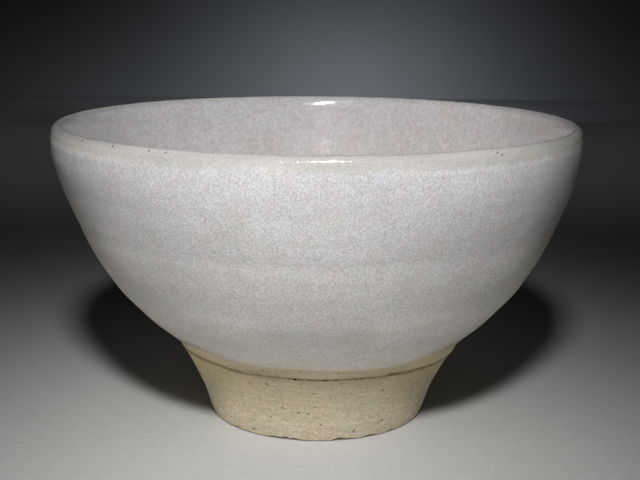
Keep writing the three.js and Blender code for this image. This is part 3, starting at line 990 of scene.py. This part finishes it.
def relief(phi, z, r, marks):
    """The sum of small pits (negative) and grains (positive) at each point."""
    h = np.zeros(np.broadcast(phi, z).shape)
    for deg, hz, w, t_, d in marks:
        dz = z - hz
        if np.min(np.abs(dz)) > 3 * t_:
            continue
        x = np.radians(wrapped(phi, deg)) * r
        near_ = np.abs(x) < 3 * w
        if near_.any():
            h[near_] += (d * np.exp(-0.5 * ((x / w) ** 2 + (dz / t_) ** 2)))[near_]
    return h


FOOT_PITS = (pits(51, 340, 0.8, 17.0, (0.13, 0.28), (-0.09, -0.03), 2.4)
             + pits(52, 460, 0.6, 17.2, (0.15, 0.36), (0.008, 0.026), 2.0)
             + pits(53, 12, 1.0, 16.5, (0.26, 0.42), (-0.16, -0.09), 1.8)
             + [(deg, hz, rad, rad * 0.8, -0.14) for deg, hz, rad in CLAY_MARKS if hz < 18])
CHIPS = [(-106.0, 0.95, 0.42), (-101.4, 1.0, 0.30), (-111.5, 1.7, 0.26), (-78.0, 1.55, 0.42),
         (-72.5, 1.0, 0.22), (-61.0, 1.6, 0.26), (-47.0, 0.9, 0.24), (-137.0, 1.0, 0.25),
         (12.0, 1.3, 0.26), (64.0, 0.8, 0.2), (98.0, 1.6, 0.3), (151.0, 1.0, 0.24)]


def foot_surface(z, phi):
    """Radius of the foot's outside at height z."""
    r = np.interp(z, FOOT_OUT[:, 1], FOOT_OUT[:, 0])
    wander = 0.25 * noise1(phi, 6, 61, 2)
    h = 0.030 * noise2(phi * 0 + 5, z + wander, 8, 1.15, 62, 3) * smoothstep(1.0, 3.4, z)
    h = h + 0.022 * noise2(phi, z, 26, 0.42, 63, 2)
    h = h + 0.020 * noise2(phi, z, 200, 1.0, 64, 3)
    h = h + 0.06 * noise2(phi, z, 9, 7.0, 65, 2) * smoothstep(0.0, 3.0, z)
    return r + h, r


t = Turned()
phi = degrees_round(NK)
half = degrees_round(NK // 2)
zs = seam_height(phi) - seam_half(phi)              # top edge of the foot
oor = lambda p, z: out_of_round(p, z)


def chip_lift(p):
    """How far the standing edge is broken away, as a height."""
    h = np.zeros(np.shape(p))
    for deg, w, d in CHIPS:
        x = np.radians(wrapped(p, deg)) * 27.0
        h = np.maximum(h, d * np.exp(-(np.abs(x / w) ** 2.6)))
    return h + 0.035 * (1 + noise1(p, 180, 66, 2))


# standing face, from the inner edge outwards (hidden below; z 0)
inner_rows = [(22.45, 0.62), (22.62, 0.20)]
t.ring(NK // 2, 22.42 + 0.05 * noise1(half, 60, 67), 0.75)
t.ring(NK // 2, 22.60 + 0.05 * noise1(half, 60, 67), 0.22)
t.ring(NK // 2, 22.85 + 0.05 * noise1(half, 60, 67), 0.0)
t.ring(NK // 2, 23.9, 0.0)
t.ring(NK // 2, 25.2, 0.0)
c = chip_lift(phi)
t.ring(NK, 26.45 - 2.6 * c, 0.0)
t.ring(NK, 26.62 - 2.3 * c, 0.02 + 0.62 * c)
t.ring(NK, 26.80 - 0.55 * c, 0.06 + 0.92 * c)
t.ring(NK, 26.93 - 0.10 * c, 0.18 + 1.00 * c)
rows = np.concatenate([np.arange(0.42, 0.95, 0.145), np.arange(1.0, 17.05, 0.235)])
for k, z0 in enumerate(rows):
    f = smoothstep(10.0, 17.0, z0)
    z = z0 + (zs - 17.55) * f + (c * smoothstep(1.6, 0.4, z0))
    r, plain = foot_surface(z, phi)
    r = r + relief(phi, z, plain, FOOT_PITS)
    t.ring(NK, r + oor(phi, z), z)
# rounded shoulder into the joint
r_top, _ = foot_surface(zs, phi)
for a_, dr, dz in ((0, 0.0, -0.30), (1, -0.02, -0.18), (2, -0.06, -0.09),
                   (3, -0.13, -0.03), (4, -0.30, 0.0)):
    z = zs + dz
    r, plain = foot_surface(np.minimum(z, 17.9), phi)
    rough_ = 0.03 * noise2(phi, z * 0 + a_, 220, 1.0, 68, 2)
    t.ring(NK, r + dr + oor(phi, z) + rough_, z)
# hidden joint face, then the open inside of the foot down to the standing face
zj = 17.55
t.ring(NK // 2, 33.0, zs[::2] - 0.01)
t.ring(NK // 2, 30.0, zj)
t.ring(NK // 2, 27.6, zj)
foot_in = spline([(27.10, 17.50), (26.30, 16.20), (25.40, 14.60), (23.70, 10.80),
                  (22.70, 6.40), (22.35, 2.40), (22.40, 1.00)], 0.02)
for z0 in np.arange(17.45, 1.0, -0.42):
    r = np.interp(-z0, -foot_in[:, 1], foot_in[:, 0])
    h = 0.06 * noise2(half * 0 + 5, z0 + 0.4 * noise1(half, 5, 71, 2), 8, 1.8, 72, 2)
    h = h + 0.03 * noise2(half, z0, 120, 1.2, 73, 2)
    t.ring(NK // 2, r + h, z0)
t.close()
foot = t.make("foot_ring_turned", FOOT, seam_d=lambda p, z: z - seam_height(p))

# ---- the clay bowl: bare band, underside, and the wall under the glaze
t = Turned()
zb = seam_height(phi) + seam_half(phi)              # lower edge of the band
under = 18.1
t.pole(under + 0.35)


def under_shape(r, p):
    """Height of the bowl's underside inside the foot: turned and flat, with a small nub in the middle and a spiral
    tool mark."""
    h = under + 0.10 * np.cos(TAU * (r / 3.1 - p / 360.0)) * smoothstep(2, 5, r) * smoothstep(27, 22, r)
    h = h + 0.35 * gauss(r, 0.0, 1.4) + 0.05 * noise2(p, r, 60, 1.6, 74, 3)
    return h


for r0, n in [(0.8, 54), (1.5, 54), (2.3, 108), (3.1, 108), (3.9, 108), (4.7, 108), (5.5, 216),
              *[(x, 216) for x in np.arange(6.2, 13.0, 0.62)],
              *[(x, 432) for x in np.arange(13.0, 26.6, 0.62)]]:
    p = degrees_round(n)
    t.ring(n, r0, under_shape(r0, p))
t.ring(432, 27.3, under)
t.ring(432, 31.0, under)
# lower edge of the band, rounded
for k, (dr, dz) in enumerate(((-0.75, 0.0), (-0.30, 0.01), (-0.12, 0.05), (-0.03, 0.13), (0.0, 0.22))):
    s = at_height(zb + 0.1)
    r, z, nr, nz = skin(s)
    rr = r - BAND * nr - 0.05
    z = zb + dz
    if k == 0:
        z = zb * 0 + np.maximum(zb, under)
    t.ring(NK, rr + dr + oor(phi, z) + 0.03 * noise2(phi, z * 0 + k, 220, 1.0, 75, 2), z)
edge_k = at_height(glaze_edge(phi))
start_k = at_height(zb + 0.42)
BAND_PITS = (pits(54, 160, 18.2, 23.0, (0.12, 0.26), (-0.08, -0.03), 2.2)
             + pits(55, 200, 18.2, 23.0, (0.15, 0.32), (0.008, 0.026), 2.0)
             + [(deg, hz, rad, rad * 0.8, -0.12) for deg, hz, rad in CLAY_MARKS if hz > 18])
for f in np.linspace(0.0, 1.0, 17):
    s = start_k + (edge_k + 1.3 - start_k) * f
    r, z, nr, nz = skin(s)
    z_ = z - BAND * nz
    h = 0.03 * noise2(phi * 0 + 5, z_ + 0.2 * noise1(phi, 6, 61, 2), 8, 0.9, 76, 2)
    h = h + 0.020 * noise2(phi, z_, 200, 0.9, 77, 2) + relief(phi, z_, r, BAND_PITS)
    sink = (COAT - BAND + 0.10) * smoothstep(0.80, 1.0, f)
    t.ring(NK, r - nr * (BAND + sink) + nr * h + oor(phi, z), z_ + nz * (h - sink))
for s0, n in [(x, 432) for x in np.linspace(base_s + 4.5, SPLIT - 4, 18)]:
    p = degrees_round(n)
    t.ring(n, *place(s0, p, -COAT - 0.12))
for s0 in np.linspace(SPLIT - 2.4, SPLIT + 2.4, 9):
    t.ring(432, *place(s0, degrees_round(432), -COAT - 0.05))
for s0, n in [*[(x, 216) for x in np.linspace(SPLIT + 6, LENGTH - 20, 14)],
              (LENGTH - 14.0, 108), (LENGTH - 8.0, 108), (LENGTH - 3.0, 54)]:
    t.ring(n, *place(s0, degrees_round(n), -COAT - 0.12))
t.pole(24.0 - COAT - 0.12)
t.first_fan()
bowl = t.make("clay_bowl_thrown", CLAY, seam_d=lambda p, z: z - seam_height(p))

# ---- the slip in the joint: an uneven dark ring, set back from the surface
t = Turned()
p = degrees_round(NK)
mid, hw = seam_height(p), seam_half(p) + 0.06
face, _ = foot_surface(np.minimum(mid, 17.8), p)
back_in = 0.085 - 0.125 * gauss(wrapped(p, -132), 0.0, 20.0) + 0.04 * noise1(p, 70, 81) + 0.02 * noise1(p, 200, 82, 2) + 0.5 * seam_holes(p)
face = face - back_in + oor(p, mid)
t.ring(NK, 28.2, mid - hw)
t.ring(NK, face - 0.9, mid - hw)
for a_ in np.radians(np.linspace(-80, 80, 9)):
    lump = 0.05 * noise2(p, a_ * 2.0, 220, 0.6, 83, 2)
    t.ring(NK, face - 0.30 * (1 - math.cos(a_)) + lump, mid + hw * math.sin(a_))
t.ring(NK, face - 0.9, mid + hw)
t.ring(NK, 28.2, mid + hw)
t.close()
slip = t.make("luting_slip_line", SLIP, hole=lambda q, z: seam_holes(q))

for piece, node, slot in ((outer, "outer_glaze", "glaze_outside"),
                          (inner, "inner_glaze", "glaze_inside"),
                          (bowl, "clay_bowl", "bowl_clay"),
                          (foot, "foot_ring", "foot_clay"),
                          (slip, "luting_slip", "seam_slip")):
    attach(piece, "root")
    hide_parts(node)

# =================================================================== the stage
FLOOR_R, FLOOR_Z = 30.0, -0.0001
rad = np.r_[0.0, np.geomspace(0.05, FLOOR_R, 40)]
verts, faces = [(0.0, 0.0, FLOOR_Z)], []
nfl = 96
for r0 in rad[1:]:
    for k in range(nfl):
        a = TAU * k / nfl
        verts.append((r0 * math.cos(a), r0 * math.sin(a), FLOOR_Z))
for k in range(nfl):
    faces.append((0, 1 + k, 1 + (k + 1) % nfl))
for i in range(len(rad) - 2):
    a0, b0 = 1 + i * nfl, 1 + (i + 1) * nfl
    for k in range(nfl):
        faces.append((a0 + k, b0 + k, b0 + (k + 1) % nfl, a0 + (k + 1) % nfl))
mesh = bpy.data.meshes.new("floor")
mesh.from_pydata(verts, [], faces)
mesh.update()
floor = bpy.data.objects.new("floor", mesh)
scene.collection.objects.link(floor)
m = Nodes("floor_paint")
soft = m.noise(0.02, 2.0, 0.5)
fcol = m.mix(m.range(soft, 0.35, 0.65), (0.740, 0.740, 0.726), (0.760, 0.760, 0.746))
fcol = m.mix(m.range(m.noise(0.75, 3.0, 0.65, offset=(4, 8, 2)), 0.34, 0.66), fcol, (0.945, 0.945, 0.948), "MULTIPLY")
# painted light and shade: a pool of light round the bowl and a lit stretch far behind, with painted shade between the
# two
off = m.vec("DIVIDE", m.vec("ADD", m.p, (0.0, 60.0, 0.0)), (123.0, 177.0, 100.0))
off = m.vec("DOT_PRODUCT", off, off)
painted_light_pool = m.math("POWER", 2.718, m.math("MULTIPLY", m.math("POWER", off, 1.05), -1.0))
far = m.math("MULTIPLY", m.range(m.y, 175.0, 600.0), m.range(
    m.vec("DISTANCE", m.p, (85.0, 840.0, 0.0)), 300.0, 110.0, 1.0, 0.62))
tone = m.math("ADD", m.math("MULTIPLY", painted_light_pool, 0.795), m.math("MULTIPLY", far, 0.74))
fcol = m.scale_color(fcol, m.math("ADD", tone, 0.07))
# painted light: lighter at both sides of the floor behind the bowl; bluer further back
behind = m.math("MULTIPLY", m.range(m.y, 215.0, 290.0), m.range(m.y, 705.0, 655.0))
fcol = m.mix(m.math("MULTIPLY", behind, m.range(m.x, 70.0, 135.0)), fcol, (1.34, 1.34, 1.35), "MULTIPLY")
fcol = m.mix(m.math("MULTIPLY", behind, m.range(m.x, -70.0, -135.0)), fcol, (1.14, 1.14, 1.15), "MULTIPLY")
fcol = m.mix(m.range(m.y, 60.0, 300.0), fcol, (0.985, 0.985, 1.03), "MULTIPLY")
mesh.materials.append(m.done(fcol, m.range(soft, 0.3, 0.7, 0.62, 0.70),
                             m.bump(m.noise(1.2, 2.0, 0.5), 1.0, 0.00003), specular=0.25))

# a plain sheet stands behind, rounded where it meets the floor
BACK_Y, BACK_R = 0.84, 0.0015
line = [(BACK_Y - BACK_R + BACK_R * math.sin(a), BACK_R - BACK_R * math.cos(a))
        for a in np.radians(np.linspace(0, 90, 9))]
line += [(BACK_Y, z) for z in (0.01, 0.05, 0.1, 0.2, 0.4, 0.8, 1.6)]
xs = np.linspace(-2.2, 2.2, 23)
verts = [(x, y, z + FLOOR_Z) for y, z in line for x in xs]
faces = [(i * 23 + j, i * 23 + j + 1, (i + 1) * 23 + j + 1, (i + 1) * 23 + j)
         for i in range(len(line) - 1) for j in range(22)]
mesh = bpy.data.meshes.new("sheet_behind")
mesh.from_pydata(verts, [], faces)
mesh.polygons.foreach_set("use_smooth", np.ones(len(mesh.polygons), bool))
mesh.update()
sheet = bpy.data.objects.new("sheet_behind", mesh)
scene.collection.objects.link(sheet)
m = Nodes("sheet_paint")
soft = m.noise(0.02, 2.0, 0.5)
scol = m.mix(soft, (0.078, 0.078, 0.078), (0.082, 0.082, 0.082))
# painted light and shade on the dark sheet: lighter towards its foot, darker out to the right and high on the left,
# lighter low on the left
down = m.range(m.z, 90.0, 4.0, smooth=False)
scol = m.mix(down, scol, (1.22, 1.22, 1.22), "MULTIPLY")
scol = m.mix(m.range(m.x, -30.0, -260.0), scol, m.mix(down, (0.72, 0.72, 0.72), (1.32, 1.32, 1.32)), "MULTIPLY")
scol = m.mix(m.range(m.x, 100.0, 300.0), scol, m.mix(down, (0.66, 0.66, 0.66), (0.92, 0.92, 0.92)), "MULTIPLY")
mesh.materials.append(m.done(scol,
                             m.range(soft, 0.3, 0.7, 0.85, 0.9),
                             m.bump(m.noise(1.2, 2.0, 0.5), 1.0, 0.00003), specular=0.0))


def softbox(name, pos, target, size, power, color=(1, 1, 1), spread=180, glossy=True):
    light = bpy.data.lights.new(name, "AREA")
    light.shape = "RECTANGLE"
    light.size, light.size_y = size
    light.energy = power
    light.color = color
    light.spread = math.radians(spread)
    obj = bpy.data.objects.new(name, light)
    scene.collection.objects.link(obj)
    d = Vector(target) - Vector(pos)
    obj.location = pos
    obj.visible_camera = False
    obj.visible_glossy = glossy
    obj.rotation_euler = d.to_track_quat("-Z", "Y").to_euler()
    return obj


softbox("key", (-0.005, -0.345, 0.320), (-0.03, -0.02, 0.03), (0.045, 0.045), 0.262,
        (1.0, 0.998, 0.99), 70)
softbox("bounce", (-0.02, -0.15, 0.0006), (-0.02, -0.15, 1.0), (0.22, 0.15), 0.05, (1.0, 0.98, 0.94))
# a card on the floor behind the bowl, so its far side isn't dark when it is looked at
softbox("back_bounce", (0.0, 0.25, 0.0006), (0.0, 0.25, 1.0), (0.24, 0.20), 0.42, (1.0, 0.99, 0.97), 180, False)
# a soft glow on the sheet behind
softbox("glow", (0.0264, 0.649, 0.020), (0.0264, 0.649 + 0.0622, 0.020 - 0.0783), (0.051, 0.028), 0.745,
        (0.80, 0.89, 1.0), 170, False)

world = bpy.data.worlds.new("room")
scene.world = world
world.use_nodes = True
bg = world.node_tree.nodes["Background"]
bg.inputs["Color"].default_value = (0.95, 0.97, 1.0, 1.0)
bg.inputs["Strength"].default_value = 0.018

# ================================================================== the camera
cam_data = bpy.data.cameras.new("camera")
cam = bpy.data.objects.new("camera", cam_data)
scene.collection.objects.link(cam)
cam_data.sensor_fit = "HORIZONTAL"
cam_data.sensor_width = 36.0
cam_data.lens = 67.5
cam_data.clip_start, cam_data.clip_end = 0.01, 50.0
TILT, ROLL = math.radians(12.11), math.radians(-0.461)
up = (0.0, math.sin(TILT), math.cos(TILT))
fwd = (0.0, math.cos(TILT), -math.sin(TILT))
cx = [math.cos(ROLL) - up[0] * math.sin(ROLL), -up[1] * math.sin(ROLL), -up[2] * math.sin(ROLL)]
cy = [math.sin(ROLL) + up[0] * math.cos(ROLL), up[1] * math.cos(ROLL), up[2] * math.cos(ROLL)]
cz = [-fwd[0], -fwd[1], -fwd[2]]
cam.matrix_world = Matrix((
    (cx[0], cy[0], cz[0], 0.00047),
    (cx[1], cy[1], cz[1], -0.2980),
    (cx[2], cy[2], cz[2], 0.1075),
    (0, 0, 0, 1)))
scene.camera = cam

scene.view_settings.view_transform = "Standard"
scene.view_settings.look = "None"
scene.view_settings.exposure = 0.0
